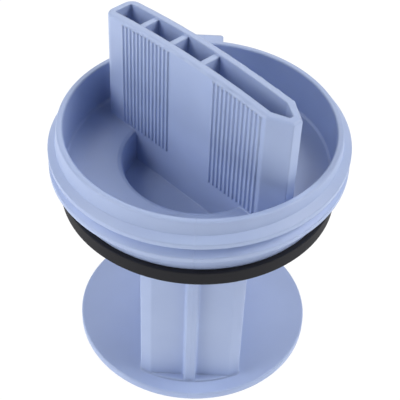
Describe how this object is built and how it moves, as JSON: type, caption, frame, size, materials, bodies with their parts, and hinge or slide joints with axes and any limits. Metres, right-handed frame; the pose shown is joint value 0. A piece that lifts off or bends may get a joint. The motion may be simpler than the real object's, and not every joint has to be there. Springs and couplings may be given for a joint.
{
  "type": "washing machine drain pump cover",
  "caption": "Screw-in drain pump cover: a threaded cup with a hollow fluted grip bar, a rubber sealing ring and a flanged stem that ends in a flat round disc.",
  "frame": {"origin": "centre of the underside of the bottom disc, on the axis of the screw thread", "axes": "+Z along the thread axis towards the grip, -Y towards the stem's visible middle rib, +X to the right seen from there"},
  "size_m": [0.07, 0.0704, 0.0838],
  "materials": {
    "cover": "satin moulded polypropylene, pale violet blue",
    "seal": "matt black moulded rubber"
  },
  "bodies": {
    "root": {"cover_body": "cover", "sealing_ring": "seal"}
  },
  "joints": []
}
